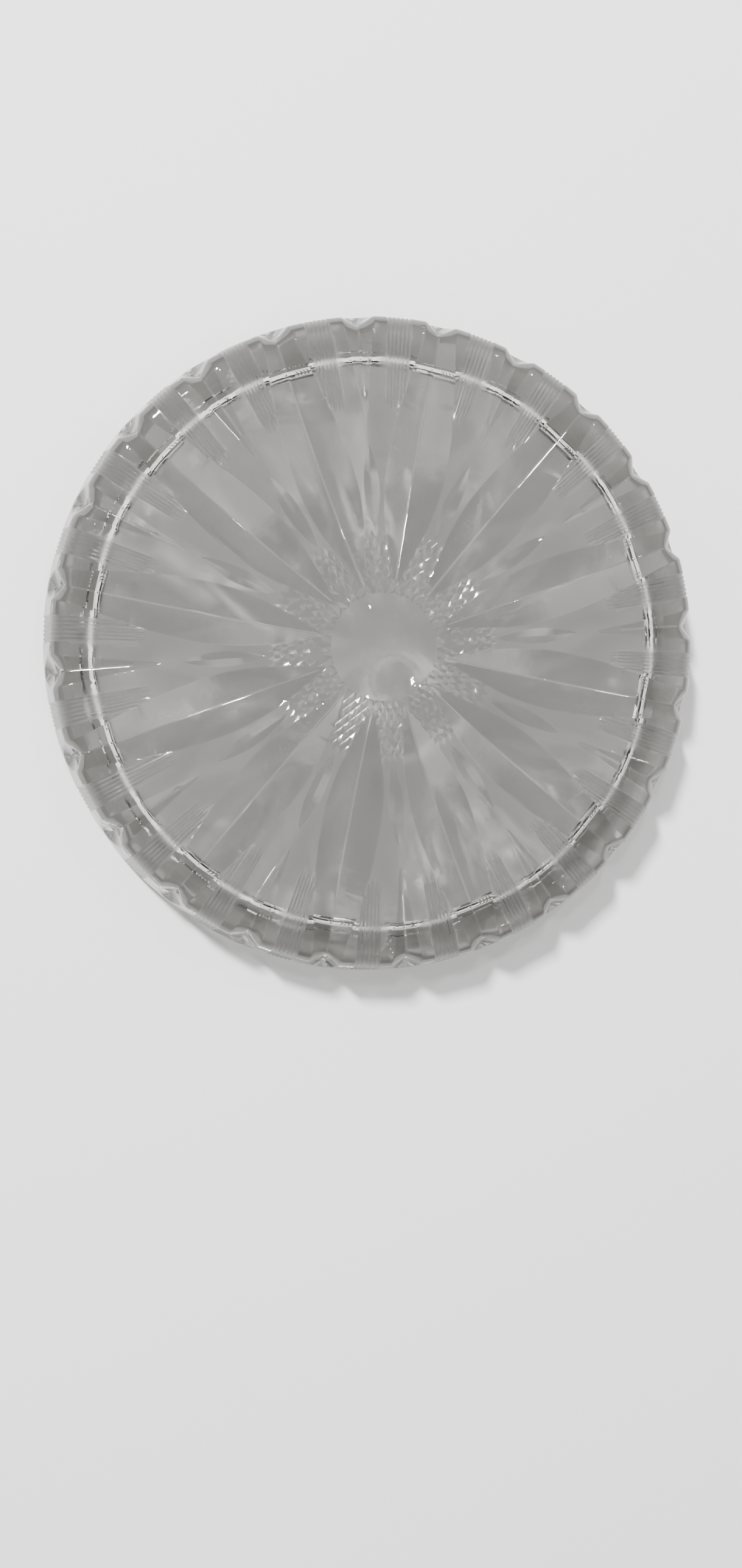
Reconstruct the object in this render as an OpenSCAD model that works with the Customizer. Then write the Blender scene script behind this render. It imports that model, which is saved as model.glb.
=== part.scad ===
// Cut-glass dish, turned over on its rim so that the cut face is on top.
// The rim lies on z = 0, the axis of the dish is the Z axis, and one petal
// of the twelve-part star points along petal_turn.

/* [Overall] */
// Diameter over the widest part of the wall
dish_d = 165; // [150:1:200]
// Height from the rim to the cut face
dish_h = 18; // [16:0.5:24]

/* [Wall and base] */
// Glass between the cut face and the hollow
base_t = 8; // [7:0.5:10]
// Width of the wall, from the hollow to the widest part
wall_t = 12.5; // [10:0.5:16]
// Width of the flat on the rim
land_w = 2.4; // [1.5:0.1:5]
// How far the side of the hollow leans out between its floor and the rim
side_lean = 3; // [1:0.5:4]
// Height of the sloping edge outside the rim flat
bevel_h = 3; // [2:0.5:5]
// How far the wall leans in between the rim and the cut face
wall_lean = 4; // [2:0.5:6]
// Rounding between the wall and the cut face
shoulder_r = 5; // [3:0.5:6]
// Rounding between the floor of the hollow and its side
floor_r = 4; // [2:0.5:6]

/* [Star of petals] */
// Number of petals
petals = 12; // [8:1:14]
// Direction of the first petal
petal_turn = 19.5; // [0:0.5:30]
// Half the width of a groove for each millimetre of its depth
groove_flare = 1.75; // [1.5:0.05:2]
// Distance from the axis to the inner tip of a petal
petal_in = 14; // [12:0.5:18]
// Distance from the axis to the deepest point of a petal
petal_mid = 46; // [40:1:52]
// Distance from the axis to where a petal has narrowed to its notch
petal_end = 74; // [70:0.5:76]
// Depth of a petal at its deepest point
petal_depth = 4.1; // [3:0.1:4.5]
// Depth of the notch where a petal runs over the shoulder
petal_notch = 2.1; // [1.5:0.1:2.5]
// Height above the rim where the notches in the wall run out
notch_low = 5; // [4:0.5:8]

/* [Leaves and darts between the petals] */
// Distance from the axis to the middle of a leaf
leaf_mid = 38.5; // [34:0.5:42]
// Length of a leaf
leaf_len = 20; // [14:0.5:24]
// Depth of a leaf at its middle
leaf_depth = 1.1; // [0.8:0.1:1.6]
// Distance from the axis to the tip of a dart
dart_tip = 52; // [48:0.5:56]
// Depth of a dart where it reaches the shoulder
dart_depth = 2; // [1.2:0.1:2.4]

/* [Bull's eye] */
// Diameter of the round hollow in the middle of the cut face
eye_d = 26; // [20:0.5:26]
// Depth of the round hollow
eye_depth = 1.8; // [1:0.1:2.5]

/* [Hidden] */
$fn = 180;
clear = 0.5;
lead = 1;
steps = 5;
arc_steps = 8;
glass = "#cdd4d0";
rim_r = dish_d / 2;
sector = 360 / petals;
lean_angle = atan(wall_lean / (dish_h - bevel_h));
top_r = rim_r - wall_lean;
shoulder_x = top_r - shoulder_r * (1 - sin(lean_angle)) / cos(lean_angle);
hollow_r = rim_r - wall_t;
land_in = hollow_r + side_lean;
land_out = land_in + land_w;
hollow_top = dish_h - base_t;
side_angle = atan(side_lean / hollow_top);
floor_x = hollow_r - floor_r * (1 - sin(side_angle)) / cos(side_angle);
eye_ball = (pow(eye_d / 2, 2) + pow(eye_depth, 2)) / (2 * eye_depth);

// Points along an arc, in the plane of the half section
function arc(x, z, r, from, to) =
    [for (i = [0:arc_steps]) let (a = from + (to - from) * i / arc_steps) [x + r * cos(a), z + r * sin(a)]];

// Half section of the glass: cut face, rounded shoulder, leaning wall, sloping edge,
// rim flat, side of the hollow, rounded corner and floor of the hollow
module half_section() {
    polygon(concat(
        [[0, dish_h]],
        arc(shoulder_x, dish_h - shoulder_r, shoulder_r, 90, lean_angle),
        [[rim_r, bevel_h], [land_out, 0], [land_in, 0]],
        arc(floor_x, hollow_top - floor_r, floor_r, side_angle, 90),
        [[0, hollow_top]]
    ));
}

// Groove along X whose depth changes along its length: marks holds [x, depth] pairs
module carved_groove(marks) {
    last = len(marks) - 1;
    bottoms = [for (m = marks) [m[0], 0, dish_h - m[1]]];
    left = [for (m = marks) [m[0], (m[1] + clear) * groove_flare, dish_h + clear]];
    right = [for (m = marks) [m[0], -(m[1] + clear) * groove_flare, dish_h + clear]];
    row = last + 1;
    polyhedron(
        points = concat(bottoms, left, right),
        faces = concat(
            [[0, row, 2 * row], [last, 2 * row + last, row + last]],
            [for (i = [0:last - 1]) [i, i + 1, row + i + 1, row + i]],
            [for (i = [0:last - 1]) [row + i, row + i + 1, 2 * row + i + 1, 2 * row + i]],
            [for (i = [0:last - 1]) [2 * row + i, 2 * row + i + 1, i + 1, i]]
        )
    );
}

// Straight V groove along X whose bottom line starts at the origin
module v_groove(length, depth) {
    rotate([90, 0, 90])
        linear_extrude(length)
            polygon([[0, 0], [depth * groove_flare, depth], [-depth * groove_flare, depth]]);
}

// V groove down the wall: full depth at the top, running out of the glass at height low
module wall_notch(depth, low) {
    low_r = rim_r - wall_lean * (low - bevel_h) / (dish_h - bevel_h);
    lean = atan((low_r - top_r + depth) / (dish_h - low));
    translate([low_r, 0, low])
        rotate([0, lean - 90, 180])
            translate([-lead, 0, 0])
                v_groove(dish_h - low + 2 * lead, depth + lead);
}

// Depth of a petal at a distance from the axis: it swells to petal_mid, then eases to the notch
function petal_cut(x) =
    x < petal_mid
        ? petal_depth * sin(90 * (x - petal_in) / (petal_mid - petal_in))
        : petal_notch + (petal_depth - petal_notch) * max(0, 1 - pow((x - petal_mid) / (petal_end - petal_mid), 2));

// One petal of the star: from its tip near the bull's eye, over the shoulder and down the wall
module petal() {
    inner = [for (i = [0:steps]) petal_in + (petal_mid - petal_in) * i / steps];
    outer = [for (i = [1:steps]) petal_mid + (petal_end - petal_mid) * i / steps];
    carved_groove(concat(
        [[petal_in - lead, -clear / 2]],
        [for (x = concat(inner, outer)) [x, petal_cut(x)]],
        [[rim_r + clear, petal_notch]]
    ));
    wall_notch(petal_notch, notch_low);
}

// Small almond with a triangular dart beyond it, which widens outwards and runs down the wall
module leaf_and_dart() {
    carved_groove([
        for (i = [-steps:steps])
            [leaf_mid + (leaf_len / 2 + lead) * i / steps, leaf_depth * (1 - pow(i / steps, 2)) - clear / 8]
    ]);
    slope = atan(dart_depth / (top_r - dart_tip));
    translate([dart_tip, 0, dish_h])
        rotate([0, slope, 0])
            translate([-lead, 0, 0])
                v_groove(rim_r - dart_tip + 2 * lead, dart_depth + lead);
    wall_notch(dart_depth, notch_low);
}

module dish() {
    color(glass, 0.5)
        difference() {
            rotate_extrude() half_section();
            translate([0, 0, dish_h + eye_ball - eye_depth]) sphere(eye_ball);
            for (i = [0:petals - 1])
                rotate([0, 0, petal_turn + i * sector]) {
                    petal();
                    rotate([0, 0, sector / 2]) leaf_and_dart();
                }
        }
}

dish();
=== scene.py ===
import math

import bmesh
import bpy
import numpy as np
from mathutils import Matrix, Vector
from mathutils.geometry import delaunay_2d_cdt


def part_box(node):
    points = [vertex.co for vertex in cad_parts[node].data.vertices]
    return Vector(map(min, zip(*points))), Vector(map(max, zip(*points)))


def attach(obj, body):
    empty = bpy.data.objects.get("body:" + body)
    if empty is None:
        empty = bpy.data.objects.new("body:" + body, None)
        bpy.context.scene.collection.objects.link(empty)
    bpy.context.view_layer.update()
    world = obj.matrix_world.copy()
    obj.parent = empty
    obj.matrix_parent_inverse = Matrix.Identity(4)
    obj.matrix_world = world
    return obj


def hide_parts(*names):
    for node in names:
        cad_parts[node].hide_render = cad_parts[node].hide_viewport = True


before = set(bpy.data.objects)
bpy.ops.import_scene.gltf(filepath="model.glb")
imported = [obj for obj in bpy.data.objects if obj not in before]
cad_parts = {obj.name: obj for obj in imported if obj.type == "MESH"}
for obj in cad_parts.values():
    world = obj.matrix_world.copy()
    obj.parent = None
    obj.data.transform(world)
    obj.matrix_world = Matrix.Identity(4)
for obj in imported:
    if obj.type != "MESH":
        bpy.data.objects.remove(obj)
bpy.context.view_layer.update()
mm = 0.001

# The dish in millimetres. It stands on its rim; the cut face is on top.
low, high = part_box("dish")
dish = {
    "radius": round((high[0] - low[0]) / 2 / mm, 2), "height": round((high[2] - low[2]) / mm, 2),
    "shoulder": 5.0, "wallLean": 4.0, "edgeHigh": 3.0, "lipRound": 1.2,
    "wall": 12.5, "flat": 2.4, "sideLean": 3.0, "base": 8.0, "floorRound": 4.0, "rimRound": 0.35,
    "petals": 12, "turn": math.radians(19.5), "flare": 1.5,  # flare: half width for each mm of depth
    "petalIn": 14.0, "petalMid": 45.0, "petalEnd": 74.5, "petalHalf": 7.3, "notchHalf": 3.6,
    "petalEase": 0.85,  # share of the outer length after which a petal only eases into its notch
    "leafMid": 38.5, "leafLong": 10.0, "leafHalf": 1.9,
    "dartTip": 52.0, "dartHalf": 3.9, "dartFlare": 1.7,
    "archLow": 4.5, "archStart": 1.0, "archPower": 1.6,  # how the notches close on the wall
    "lines": 6, "linePitch": math.radians(0.76), "lineTurn": math.radians(7.6),
    "lineIn": 56.5, "lineLead": 3.0, "lineTail": 1.0, "lineDeep": 0.34,
    "hatchPitch": 1.55, "hatchDeep": 0.4, "hatchTurn": math.radians(27), "hatchOut": 29.0, "hatchFade": 2.0,
    "eye": 13.0, "eyeDeep": 2.2,
    "edgeSoft": 0.19, "valleySoft": 0.36,
    "lineGround": 1.0, "hatchGround": 0.5,  # how ground the fine cuts are, from 0 to 1
}

# How finely the mesh is drawn: counts of steps, and spacings in millimetres
fine = {
    "shoulderSteps": 12, "lipSteps": 6, "floorSteps": 8, "rimSteps": 4, "sideRings": (0.33, 0.66),
    "floorRings": (60, 50, 38, 26, 14, 5), "columns": 24,
    "spokes": 12, "eyeSpokes": 6, "step": 1.5, "eyeStep": 1.65, "eyeGap": 1.6,
    "petalStep": 1.0, "valleyStep": 2.0, "petalLead": 1.5, "dartLead": 3.0, "leafLead": 1.0,
    "petalValley": 3.0, "dartValley": 8.0, "tailStart": 1.8, "tail": (1.2, 0.6, 0.2, 0.03),
    "probes": 400, "lineGap": 0.25, "lineEarly": 0.1,
    "hatchReach": 20, "hatchLong": 30, "hatchProbes": 1201, "hatchGap": 0.24, "hatchRim": 0.01,
    "dotGap": 0.3, "dotRim": 0.5,
}
sector = 2 * math.pi / dish["petals"]
half = sector / 2
rimR, height = dish["radius"], dish["height"]
tiny = 1e-6


# outer profile, walked from the axis over the shoulder and down to the rim flat
def arcPoints(x, z, r, start, end, steps):
    turns = np.linspace(start, end, steps + 1)
    return [(x + r * math.cos(a), z + r * math.sin(a)) for a in turns]


def roundedCorner(a, b, c, r, steps):
    # points of an arc of radius r that rounds the corner b of the path a, b, c
    a, b, c = (np.array(p, float) for p in (a, b, c))
    u, v = (a - b) / np.linalg.norm(a - b), (c - b) / np.linalg.norm(c - b)
    halfTurn = math.acos(u @ v) / 2
    mid = b + (u + v) / np.linalg.norm(u + v) * r / math.sin(halfTurn)
    p, q = b + u * r / math.tan(halfTurn) - mid, b + v * r / math.tan(halfTurn) - mid
    return arcPoints(mid[0], mid[1], r, math.atan2(p[1], p[0]), math.atan2(q[1], q[0]), steps)


def outerProfile(d):
    lean = math.atan(d["wallLean"] / (height - d["edgeHigh"]))
    x = rimR - d["wallLean"] - d["shoulder"] * (1 - math.sin(lean)) / math.cos(lean)
    shoulder = arcPoints(x, height - d["shoulder"], d["shoulder"], math.pi / 2, lean, fine["shoulderSteps"])
    flatOut = rimR - d["wall"] + d["sideLean"] + d["flat"]
    lip = roundedCorner(shoulder[-1], (rimR, d["edgeHigh"]), (flatOut, 0), d["lipRound"], fine["lipSteps"])
    points = np.array([(0, height)] + shoulder + lip + [(flatOut, 0)])
    steps = np.diff(points, axis=0)
    normals = np.stack([-steps[:, 1], steps[:, 0]], 1) / np.linalg.norm(steps, axis=1)[:, None]
    corner = np.vstack([normals[0], normals[:-1] + normals[1:], normals[-1]])
    corner /= np.linalg.norm(corner, axis=1)[:, None]
    corner[1] = corner[0]
    walk = np.concatenate([[0], np.cumsum(np.linalg.norm(steps, axis=1))])
    return {"points": points, "normals": corner, "walk": walk, "flatOut": flatOut,
            "wallTop": walk[len(shoulder)], "lipTop": walk[len(shoulder) + 1]}


profile = outerProfile(dish)
walkEnd = float(profile["walk"][-1])
lineOut = float(profile["walk"][-2]) - 0.05  # the fine grooves stop just short of the rim's corner
archOut = float(profile["lipTop"]) + dish["edgeHigh"] - dish["archLow"]


def onProfile(s):
    r, z = (np.interp(s, profile["walk"], profile["points"][:, i]) for i in (0, 1))
    nr, nz = (np.interp(s, profile["walk"], profile["normals"][:, i]) for i in (0, 1))
    return r, z, nr / np.hypot(nr, nz), nz / np.hypot(nr, nz)


print("profile walked", round(walkEnd, 2), "mm")


# the cuts: s is the walk from the axis, half widths and depths are in millimetres
def arch(s):
    start = profile["wallTop"] + dish["archStart"]
    t = np.clip((s - start) / (archOut - start), 0, 1)
    return np.sqrt(np.clip(1 - t ** dish["archPower"], 0, 1))


def petalHalf(s):
    d = dish
    rise = np.sin(np.pi / 2 * np.clip((s - d["petalIn"]) / (d["petalMid"] - d["petalIn"]), 0, 1))
    t, k = np.maximum((s - d["petalMid"]) / (d["petalEnd"] - d["petalMid"]), 0), d["petalEase"]
    fall = np.where(t < k, 1 - t ** 2, (1 - k ** 2) * np.exp(-2 * k * (t - k) / (1 - k ** 2)))
    outer = d["notchHalf"] + (d["petalHalf"] - d["notchHalf"]) * fall
    return np.where(s < d["petalMid"], d["petalHalf"] * rise, outer) * arch(s)


def leafHalf(s):
    return dish["leafHalf"] * np.clip(1 - ((s - dish["leafMid"]) / dish["leafLong"]) ** 2, 0, 1)


def dartHalf(s):
    grown = (s - dish["dartTip"]) / (rimR - dish["wallLean"] - dish["dartTip"])
    return dish["dartHalf"] * np.clip(grown, 0, 1) * arch(s)


def softV(width, lateral, flare):
    # V groove with a rounded bottom and rounded upper edges, both smaller where the groove is narrow
    nil = 1e-9
    c = np.minimum(dish["valleySoft"], width / 3 + nil)
    a = np.minimum(dish["edgeSoft"], np.maximum(width, 0) / 4 / flare + nil)
    lateral = np.where(lateral < c, (lateral ** 2 + c ** 2) / (2 * c), lateral)
    g = (width - lateral) / flare
    return np.where(g > a, g, np.where(g < -a, 0, (g + a) ** 2 / (4 * a)))


mid = np.array([math.cos(half), math.sin(half)])
side = np.array([-mid[1], mid[0]])
across, onward = side * math.cos(dish["hatchTurn"]), mid * math.sin(dish["hatchTurn"])
hatchRows = np.array([across + onward, onward - across]) / dish["hatchPitch"]
hatchStart = mid * dish["eye"]


def cutDepth(s, th):
    # depth below the uncut glass, and how ground it is; th is the angle from the middle of a petal
    d = dish
    r = onProfile(s)[0]
    fromPetal, fromMid = r * np.abs(th), r * np.abs(half - th)
    cuts = [softV(petalHalf(s), fromPetal, d["flare"]), softV(leafHalf(s), fromMid, d["flare"]),
            softV(dartHalf(s), fromMid, d["dartFlare"])]
    lastLine = d["lines"] - 1
    k = (th - d["lineTurn"]) / d["linePitch"] + lastLine / 2
    near = np.clip(np.round(k), 0, lastLine)
    run = np.clip((s - d["lineIn"]) / d["lineLead"], 0, 1) * np.clip((lineOut - s) / d["lineTail"], 0, 1)
    lines = d["lineDeep"] * np.clip(1 - 2 * np.abs(k - near), 0, 1) * run
    flat = np.stack([s * np.cos(th), s * np.sin(th)], 1) - hatchStart
    rows = 1 - 2 * np.abs(flat @ hatchRows.T - np.round(flat @ hatchRows.T))
    fan = (s > d["eye"]) & (s < d["hatchOut"]) & (s * th > petalHalf(s))
    fade = np.clip((d["hatchOut"] - s) / d["hatchFade"], 0, 1)
    hatch = np.where(fan, d["hatchDeep"] * rows.max(1) * fade, 0)
    ball = (d["eye"] ** 2 + d["eyeDeep"] ** 2) / (2 * d["eyeDeep"])
    eye = np.sqrt(np.maximum(ball ** 2 - s ** 2, 0)) - (ball - d["eyeDeep"])
    deepest, inEye = np.max(cuts + [lines, hatch], axis=0), s <= d["eye"] + tiny
    inLines = (np.abs(k - lastLine / 2) <= d["lines"] / 2 + 0.01) & (run > 0.3)
    ground = np.where((deepest > 1e-4) & (deepest == hatch), d["hatchGround"], 0)
    ground = np.where(inLines & (deepest == lines), d["lineGround"], ground)
    return np.where(inEye, np.maximum(eye, 0), deepest), np.where(inEye, 0, ground)


# half a sector as a flat map whose edges follow every cut
class FlatMap:
    def __init__(self):
        self.points, self.edges = [], []

    def line(self, marks):
        first = len(self.points)
        self.points += [Vector((s * math.cos(t), s * math.sin(t))) for s, t in marks]
        self.edges += [(first + i, first + i + 1) for i in range(len(marks) - 1)]

    def along(self, width, stops, shift, fromMid):
        # a line that keeps a distance from the edge of a cut
        stops = np.array(stops, float)
        turn = np.maximum(width(stops) + shift, 0) / onProfile(stops)[0]
        self.line([(s, half - t if fromMid else t) for s, t in zip(stops, turn)])


def grid(start, end, step):
    return list(np.linspace(start, end, max(2, int(round((end - start) / step)) + 1)))


def halfSector():
    d, f, m = dish, fine, FlatMap()
    rows = grid(f["step"], d["eye"] - f["eyeGap"], f["eyeStep"]) + [d["eye"]] + list(profile["walk"][1:-1])
    rows += grid(profile["wallTop"], profile["lipTop"], f["step"])[1:-1]
    for s in rows + [walkEnd]:
        n = f["eyeSpokes"] if s <= d["eye"] else f["spokes"]
        m.line([(s, half * i / n) for i in range(n + 1)])
    for t in (0.0, half):
        m.line([(s, t) for s in [0] + grid(f["step"], walkEnd, f["step"])])
    stop, tail = archOut - f["tailStart"], [archOut - x for x in f["tail"]]
    leafIn, leafOut, lead = d["leafMid"] - d["leafLong"], d["leafMid"] + d["leafLong"], f["leafLead"]
    soft = d["edgeSoft"] * d["flare"]
    for shift in (soft, 0, -soft):
        m.along(petalHalf, grid(d["petalIn"] + f["petalLead"], stop, f["petalStep"]) + tail, shift, False)
        m.along(dartHalf, grid(d["dartTip"] + f["dartLead"], stop, f["step"]) + tail, shift, True)
        m.along(leafHalf, grid(leafIn + lead, leafOut - lead, lead), shift, True)
    for share in (0.5, 1):
        valley = lambda s: np.full(len(s), d["valleySoft"] * share)
        m.along(valley, grid(d["petalIn"] + f["petalValley"], stop, f["valleyStep"]), 0, False)
        m.along(valley, grid(d["dartTip"] + f["dartValley"], stop, f["valleyStep"]), 0, True)
    for ends in ((leafIn, leafIn + lead), (leafOut - lead, leafOut)):
        m.line([(s, half - leafHalf(s) / s) for s in ends])
    fineLines(m)
    hatching(m)
    return m


def fineLines(m):
    d, f = dish, fine
    probe = np.linspace(d["lineIn"], d["petalEnd"], f["probes"])
    for j in range(2 * d["lines"] + 1):
        t = d["lineTurn"] + (j - d["lines"]) / 2 * d["linePitch"]
        clear = onProfile(probe)[0] * t > petalHalf(probe) + f["lineGap"]
        start = float(probe[np.argmax(clear)])
        early = start < d["lineIn"] + f["lineEarly"]
        stops = ([start, start + d["lineLead"]] if early else [start]) + [lineOut - d["lineTail"], lineOut]
        m.line([(s, t) for s in stops])


def hatching(m):
    d, f = dish, fine
    reach = range(-f["hatchReach"], f["hatchReach"] + 1)
    ts = np.linspace(-f["hatchLong"], f["hatchLong"], f["hatchProbes"])
    for row in hatchRows:
        for k in reach:
            foot = hatchStart + row / (row @ row) * k
            pts = foot + np.outer(ts, [-row[1], row[0]]) / math.sqrt(row @ row)
            s, t = np.hypot(*pts.T), np.arctan2(pts[:, 1], pts[:, 0])
            inside = (t >= 0) & (t <= half) & (s >= d["eye"]) & (s <= d["hatchOut"] - f["hatchRim"])
            inside &= (s * t >= petalHalf(s) + f["hatchGap"]) & (s * (half - t) >= leafHalf(s) - tiny)
            found = np.flatnonzero(inside)
            if len(found) > 3:  # shorter rows would only leave slivers
                first = len(m.points)
                m.points += [Vector(pts[found[0]]), Vector(pts[found[-1]])]
                m.edges.append((first, first + 1))
    for i in reach:
        for j in reach:
            p = hatchStart + np.linalg.solve(hatchRows, (i + 0.5, j + 0.5))
            s, t = math.hypot(*p), math.atan2(p[1], p[0])
            width = petalHalf(np.array([s]))[0] + f["dotGap"]
            if d["eye"] + f["dotGap"] < s < d["hatchOut"] - f["dotRim"] and width / s < t < half:
                m.points.append(Vector(p))


flatMap = halfSector()
found = delaunay_2d_cdt(flatMap.points, flatMap.edges, [], 0, 1e-5)
flat = np.array([tuple(v) for v in found[0]])
tris = np.array([tuple(f) for f in found[2]])
s = np.hypot(flat[:, 0], flat[:, 1])
th = np.clip(np.arctan2(flat[:, 1], flat[:, 0]), 0, half)
th[th < 1e-5] = 0  # points beside the two cut sides and the outer ring are moved onto them
th[half - th < 1e-5] = half
s[walkEnd - s < 2e-2] = walkEnd
onSide = np.all(th[tris] == 0, axis=1) | np.all((th[tris] == half) | (s[tris] < tiny), axis=1)
a, b, c = (flat[tris[:, i]] for i in range(3))
area = np.abs((b - a)[:, 0] * (c - a)[:, 1] - (c - a)[:, 0] * (b - a)[:, 1])
tris = tris[~onSide & (area > tiny)]
depth, ground = cutDepth(s, th)
r, z, nr, nz = onProfile(s)
print("half sector", len(flat), "points", len(tris), "triangles")

# twelve sectors, each a half and its mirror image
points, faces = [], []
for i in range(dish["petals"]):
    for hand in (1, -1):
        turn = dish["turn"] + i * sector + hand * th
        away = r - nr * depth
        faces.append((tris if hand == 1 else tris[:, ::-1]) + len(points) * len(flat))
        points.append(np.stack([away * np.cos(turn), away * np.sin(turn), z - nz * depth], 1))
points, faces = np.vstack(points), [tuple(f) for f in np.vstack(faces)]


# rim flat, side and floor of the hollow
def innerProfile(d):
    top = height - d["base"]
    lean = math.atan(d["sideLean"] / top)
    floorX = rimR - d["wall"] - d["floorRound"] * (1 - math.sin(lean)) / math.cos(lean)
    flatIn, e = rimR - d["wall"] + d["sideLean"], d["rimRound"]
    corner = arcPoints(floorX, top - d["floorRound"], d["floorRound"], lean, math.pi / 2, fine["floorSteps"])
    turns = np.linspace(0, math.pi / 2 - lean, fine["rimSteps"])
    rim = [(flatIn + e * (1 - math.sin(x)), e * (1 - math.cos(x))) for x in turns]
    side = [tuple(np.array(rim[-1]) * (1 - k) + np.array(corner[0]) * k) for k in fine["sideRings"]]
    return [(profile["flatOut"], 0)] + rim + side + corner + [(x, top) for x in fine["floorRings"]]


inner = innerProfile(dish)
columns = fine["columns"] * dish["petals"]
turns = dish["turn"] + np.arange(columns) * 2 * math.pi / columns
first = len(points)
rings = [np.stack([x * np.cos(turns), x * np.sin(turns), np.full(columns, h)], 1) for x, h in inner]
points = np.vstack([points] + rings + [[[0, 0, inner[-1][1]]]])
for i in range(len(inner) - 1):
    for j in range(columns):
        a, b = first + i * columns + j, first + i * columns + (j + 1) % columns
        faces.append((a, b, b + columns, a + columns))
last = first + (len(inner) - 1) * columns
faces += [(last + j, last + (j + 1) % columns, len(points) - 1) for j in range(columns)]

mesh = bpy.data.meshes.new("cutDish")
mesh.from_pydata((points * mm).tolist(), [], faces)
groundAll = np.concatenate([np.tile(ground, 2 * dish["petals"]), np.zeros(len(points) - first)])
mesh.attributes.new("ground", "FLOAT", "POINT").data.foreach_set("value", groundAll)
weld, sharpTurn = 2e-6, math.radians(17)
work = bmesh.new()
work.from_mesh(mesh)
bmesh.ops.remove_doubles(work, verts=work.verts, dist=weld)
bmesh.ops.dissolve_degenerate(work, edges=work.edges, dist=weld)
bmesh.ops.recalc_face_normals(work, faces=work.faces)
openEdges = sum(len(e.link_faces) != 2 for e in work.edges)
print("open edges", openEdges, "volume", round(work.calc_volume() * 1e6, 1), "ml")
work.to_mesh(mesh)
work.free()
mesh.shade_smooth()
mesh.set_sharp_from_angle(angle=sharpTurn)
body = bpy.data.objects.new("cutDish", mesh)
bpy.context.scene.collection.objects.link(body)
body.cycles.is_caustics_caster = True
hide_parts("dish")
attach(body, "root")
print("dish", sum(len(p.vertices) - 2 for p in mesh.polygons), "triangles")


# maths and range nodes, for the glass and the room
def mathsNode(tree, kind, *values):
    n = tree.nodes.new("ShaderNodeMath")
    n.operation = kind
    for i, x in enumerate(values):
        if isinstance(x, float):
            n.inputs[i].default_value = x
        else:
            tree.links.new(x, n.inputs[i])
    return n.outputs[0]


def rangeNode(tree, value, start, end, top=1.0):
    n = tree.nodes.new("ShaderNodeMapRange")
    for name, x in (("From Min", start), ("From Max", end), ("To Max", top)):
        n.inputs[name].default_value = x
    tree.links.new(value, n.inputs["Value"])
    return n.outputs["Result"]


def newNodes(tree, *kinds):
    return [tree.nodes.new("ShaderNode" + kind) for kind in kinds]


# The glass. Uncut lands keep the mould's peel, the steep sides of the cuts get a painted shade,
# a darker tint standing in for the shade the light paths leave in the cuts, the fine grooves are frosted, and
# worn patches are a little dull.
glass = {
    # the darker tint and its slope range are painted shade on the steep cut faces, not a colour of the glass
    "ior": 1.53, "tint": (1, 1, 1, 1), "paintedCutShade": (0.66, 0.657, 0.645, 1), "paintedShadeFrom": 0.95, "paintedShadeFull": 0.87,
    "landUp": 0.9995, "frost": 0.32, "ripple": 0.00006,
    "rippleNoise": (260.0, 2.0), "peelNoise": (1100.0, 1.5), "wearNoise": (90.0, 6.0),
    "wearFrom": 0.55, "wearFull": 0.75, "wearRough": 0.07,
    "depthColor": (0.93, 0.926, 0.915, 1), "density": 80.0, "shadow": (0.28, 0.28, 0.28, 1),
}


def marksGroup(look):
    # unevenness of fire-polished glass: a height for the bump, and a roughness for wear and frosting
    group = bpy.data.node_groups.new("surfaceMarks", "ShaderNodeTree")
    for name in ("Peel Amount", "Frost"):
        group.interface.new_socket(name, in_out="INPUT", socket_type="NodeSocketFloat")
    for name in ("Height", "Roughness"):
        group.interface.new_socket(name, in_out="OUTPUT", socket_type="NodeSocketFloat")
    entry, leave = group.nodes.new("NodeGroupInput"), group.nodes.new("NodeGroupOutput")
    place, = newNodes(group, "TexCoord")

    def noise(scale, detail):
        n, = newNodes(group, "TexNoise")
        n.inputs["Scale"].default_value, n.inputs["Detail"].default_value = scale, detail
        group.links.new(place.outputs["Object"], n.inputs["Vector"])
        return n.outputs["Fac"]

    ripple, peel, wear = (noise(*look[name]) for name in ("rippleNoise", "peelNoise", "wearNoise"))
    peel = mathsNode(group, "MULTIPLY", peel, entry.outputs["Peel Amount"])
    worn = rangeNode(group, wear, look["wearFrom"], look["wearFull"], look["wearRough"])
    group.links.new(mathsNode(group, "ADD", ripple, peel), leave.inputs["Height"])
    group.links.new(mathsNode(group, "ADD", worn, entry.outputs["Frost"]), leave.inputs["Roughness"])
    return group


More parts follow.
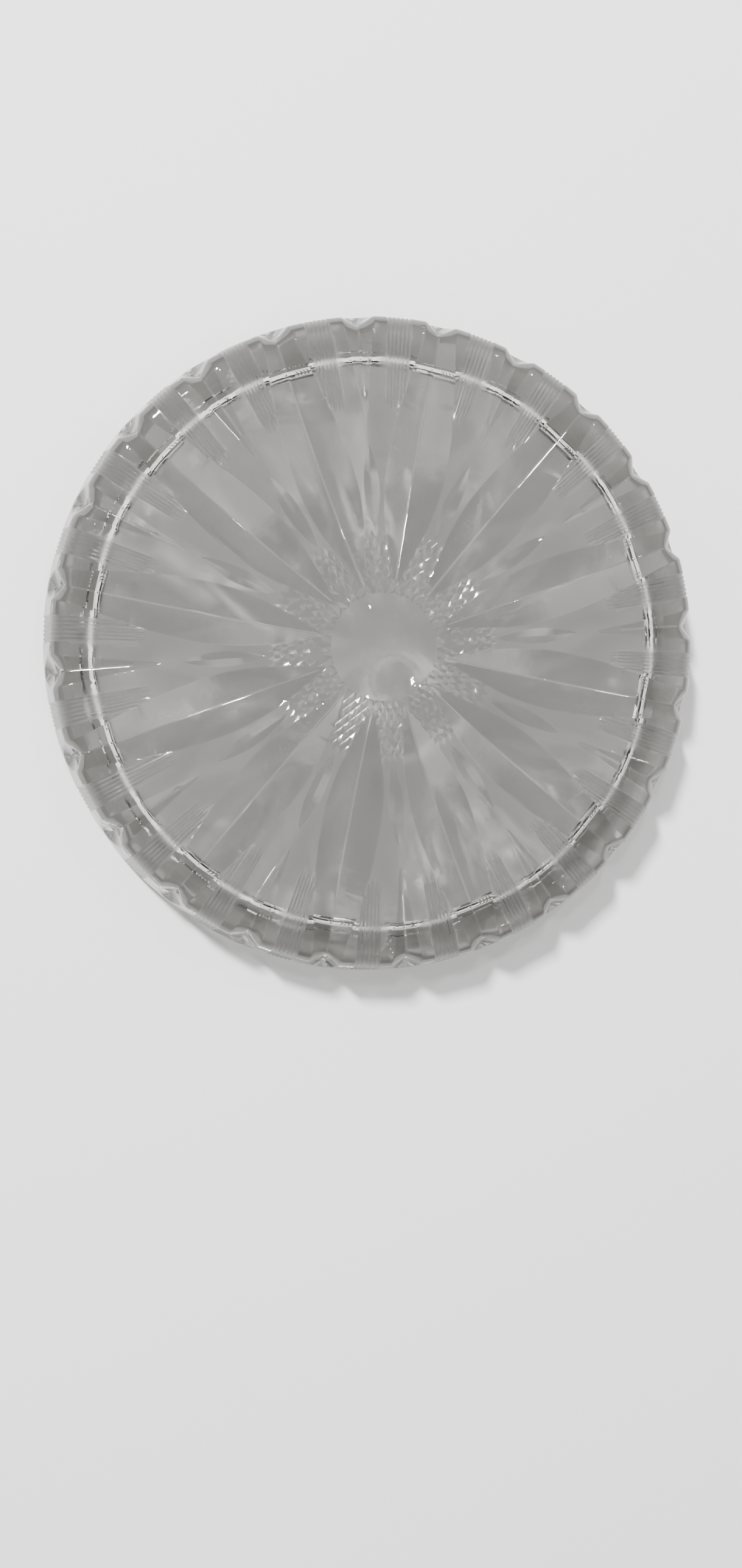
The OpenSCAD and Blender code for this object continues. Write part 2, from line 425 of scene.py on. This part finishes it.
def glassMaterial(look):
    material = bpy.data.materials.new("cutGlass")
    material.use_nodes = True
    tree = material.node_tree
    links, shader, output = tree.links, tree.nodes["Principled BSDF"], tree.nodes["Material Output"]
    shader.inputs["Transmission Weight"].default_value = 1
    shader.inputs["IOR"].default_value = look["ior"]

    facing, split, ground, marks = newNodes(tree, "NewGeometry", "SeparateXYZ", "Attribute", "Group")
    links.new(facing.outputs["True Normal"], split.inputs[0])
    ground.attribute_name, marks.node_tree = "ground", marksGroup(look)
    upward = split.outputs["Z"]
    links.new(mathsNode(tree, "GREATER_THAN", upward, look["landUp"]), marks.inputs["Peel Amount"])
    links.new(mathsNode(tree, "MULTIPLY", ground.outputs["Fac"], look["frost"]), marks.inputs["Frost"])
    links.new(marks.outputs["Roughness"], shader.inputs["Roughness"])

    shadeMix, bump, depths = newNodes(tree, "Mix", "Bump", "VolumeAbsorption")
    shadeMix.data_type = "RGBA"
    # painted shade: faces steeper than the lands get a darker base colour by their slope, in place of the
    # shade light leaves in the cuts
    links.new(rangeNode(tree, upward, look["paintedShadeFrom"], look["paintedShadeFull"]), shadeMix.inputs[0])
    shadeMix.inputs[6].default_value, shadeMix.inputs[7].default_value = look["tint"], look["paintedCutShade"]
    links.new(shadeMix.outputs[2], shader.inputs["Base Color"])
    bump.inputs["Distance"].default_value = look["ripple"]
    links.new(marks.outputs["Height"], bump.inputs["Height"])
    links.new(bump.outputs["Normal"], shader.inputs["Normal"])
    depths.inputs["Color"].default_value = look["depthColor"]
    depths.inputs["Density"].default_value = look["density"]
    links.new(depths.outputs[0], output.inputs["Volume"])

    rays, clear, mix = newNodes(tree, "LightPath", "BsdfTransparent", "MixShader")
    clear.inputs["Color"].default_value = look["shadow"]  # light that reaches the floor without being bent
    links.new(rays.outputs["Is Shadow Ray"], mix.inputs["Fac"])
    links.new(shader.outputs[0], mix.inputs[1])
    links.new(clear.outputs[0], mix.inputs[2])
    links.new(mix.outputs[0], output.inputs["Surface"])
    return material


mesh.materials.append(glassMaterial(glass))
print("glass")


# stage: a plain pale floor and a soft room with bright panes, which the cuts reflect
room = {
    "floorReach": 12.0, "floorDrop": -0.0002, "floorColor": (0.78, 0.775, 0.77, 1), "floorRough": 0.9,
    "low": (0.2, 0.18, 0.16, 1), "overhead": (0.5, 0.5, 0.5, 1),
    "bands": ((0.25, (0.3, 0.29, 0.28, 1)), (0.4, (1.0, 1.0, 1.0, 1)), (0.8, (1.0, 1.0, 1.0, 1))),
    "wave": (5.0, 0.3), "shortWave": (11.0, 2.1), "shortShare": 0.7, "paneEdge": (0.2, 1.2),
    "paneLow": (0.1, 0.5), "paneHigh": (0.95, 0.7), "paneLight": 3.5, "fill": 0.15,
    "backdrop": (0.6, 0.6, 0.6, 1),
}
floorMesh = bpy.data.meshes.new("stageFloor")
reach, drop = room["floorReach"], room["floorDrop"]
corners = [(-reach, -reach, drop), (reach, -reach, drop), (reach, reach, drop), (-reach, reach, drop)]
floorMesh.from_pydata(corners, [], [(0, 1, 2, 3)])
floor = bpy.data.objects.new("stageFloor", floorMesh)
bpy.context.scene.collection.objects.link(floor)
floor.cycles.is_caustics_receiver = True
paper = bpy.data.materials.new("stagePaper")
paper.use_nodes = True
paperShader = paper.node_tree.nodes["Principled BSDF"]
paperShader.inputs["Base Color"].default_value = room["floorColor"]
paperShader.inputs["Roughness"].default_value = room["floorRough"]
floorMesh.materials.append(paper)

world = bpy.data.worlds.new("room")
bpy.context.scene.world = world
world.use_nodes = True
sky = world.node_tree
background = sky.nodes["Background"]
place, split, ramp = newNodes(sky, "TexCoord", "SeparateXYZ", "ValToRGB")
sky.links.new(place.outputs["Generated"], split.inputs[0])
up = split.outputs["Z"]
sky.links.new(up, ramp.inputs["Fac"])
sky.links.new(ramp.outputs["Color"], background.inputs["Color"])
stops = ramp.color_ramp.elements
stops[0].color, stops[1].color = room["low"], room["overhead"]
for at, shade in room["bands"]:
    stops.new(at).color = shade
azimuth = mathsNode(sky, "ARCTAN2", split.outputs["Y"], split.outputs["X"])
turned = (mathsNode(sky, "MULTIPLY_ADD", azimuth, *room[name]) for name in ("wave", "shortWave"))
longWave, shortWave = (mathsNode(sky, "SINE", x) for x in turned)
swing = mathsNode(sky, "ADD", longWave, mathsNode(sky, "MULTIPLY", shortWave, room["shortShare"]))
band = mathsNode(sky, "MULTIPLY", rangeNode(sky, up, *room["paneLow"]), rangeNode(sky, up, *room["paneHigh"]))
panes = mathsNode(sky, "MULTIPLY", rangeNode(sky, swing, *room["paneEdge"]), band)
strength = mathsNode(sky, "MULTIPLY_ADD", panes, room["paneLight"], room["fill"])
sky.links.new(strength, background.inputs["Strength"])
plain, seen, either = newNodes(sky, "Background", "LightPath", "MixShader")
plain.inputs["Color"].default_value = room["backdrop"]
sky.links.new(seen.outputs["Is Camera Ray"], either.inputs["Fac"])
sky.links.new(background.outputs[0], either.inputs[1])
sky.links.new(plain.outputs[0], either.inputs[2])
sky.links.new(either.outputs[0], sky.nodes["World Output"].inputs["Surface"])

# name, azimuth and elevation in degrees, width and height in metres, watts
lamps = (
    ("windowLeft", 122, 48, (0.12, 0.2), 70), ("lampTop", 112, 63, (0.05, 0.12), 4),
    ("lampRight", 60, 50, (0.05, 0.1), 4), ("lampFront", 310, 62, (0.04, 0.08), 3),
)
lampsAway = 1.5


def addLamp(name, around, above, size, power):
    a, e = math.radians(around), math.radians(above)
    light = bpy.data.lights.new(name, "AREA")
    light.shape, light.energy = "RECTANGLE", power
    light.size, light.size_y = size
    light.cycles.is_caustics_light = True
    lamp = bpy.data.objects.new(name, light)
    lamp.location = Vector((math.cos(a) * math.cos(e), math.sin(a) * math.cos(e), math.sin(e))) * lampsAway
    lamp.rotation_euler = (-lamp.location).to_track_quat("-Z", "Y").to_euler()
    bpy.context.scene.collection.objects.link(lamp)


for lamp in lamps:
    addLamp(*lamp)
print("stage")

# camera, held above the left edge of the dish and tipped towards it; places are in a 1219 by 2576 frame
shot = {
    "focal": 1935.0, "centre": (609.5, 1288.0), "frameHigh": 2576, "sensor": 36, "near": 0.01,
    "plumb": (340.0, 1165.0), "dishAt": (614.0, 1069.0), "away": 0.3031,
}


def sight(p):
    x, y = ((p[i] - shot["centre"][i]) / shot["focal"] for i in (0, 1))
    return np.array([x, y, 1.0])


down = sight(shot["plumb"]) / np.linalg.norm(sight(shot["plumb"]))
right = np.array([1.0, 0, 0]) - down[0] * down
right /= np.linalg.norm(right)
turn = np.stack([right, np.cross(-down, right), -down])
eye = turn @ (-sight(shot["dishAt"]) * shot["away"])
axes = [turn @ np.array(v) for v in ((1, 0, 0), (0, -1, 0), (0, 0, -1))] + [eye]
camera = bpy.data.cameras.new("view")
camera.sensor_width, camera.clip_start = shot["sensor"], shot["near"]
camera.lens = shot["sensor"] * shot["focal"] / shot["frameHigh"]
view = bpy.data.objects.new("view", camera)
view.matrix_world = Matrix([[float(c[i]) for c in axes] for i in range(3)] + [[0, 0, 0, 1]])
bpy.context.scene.collection.objects.link(view)
bpy.context.scene.camera = view
print("camera", [round(float(x), 3) for x in eye])
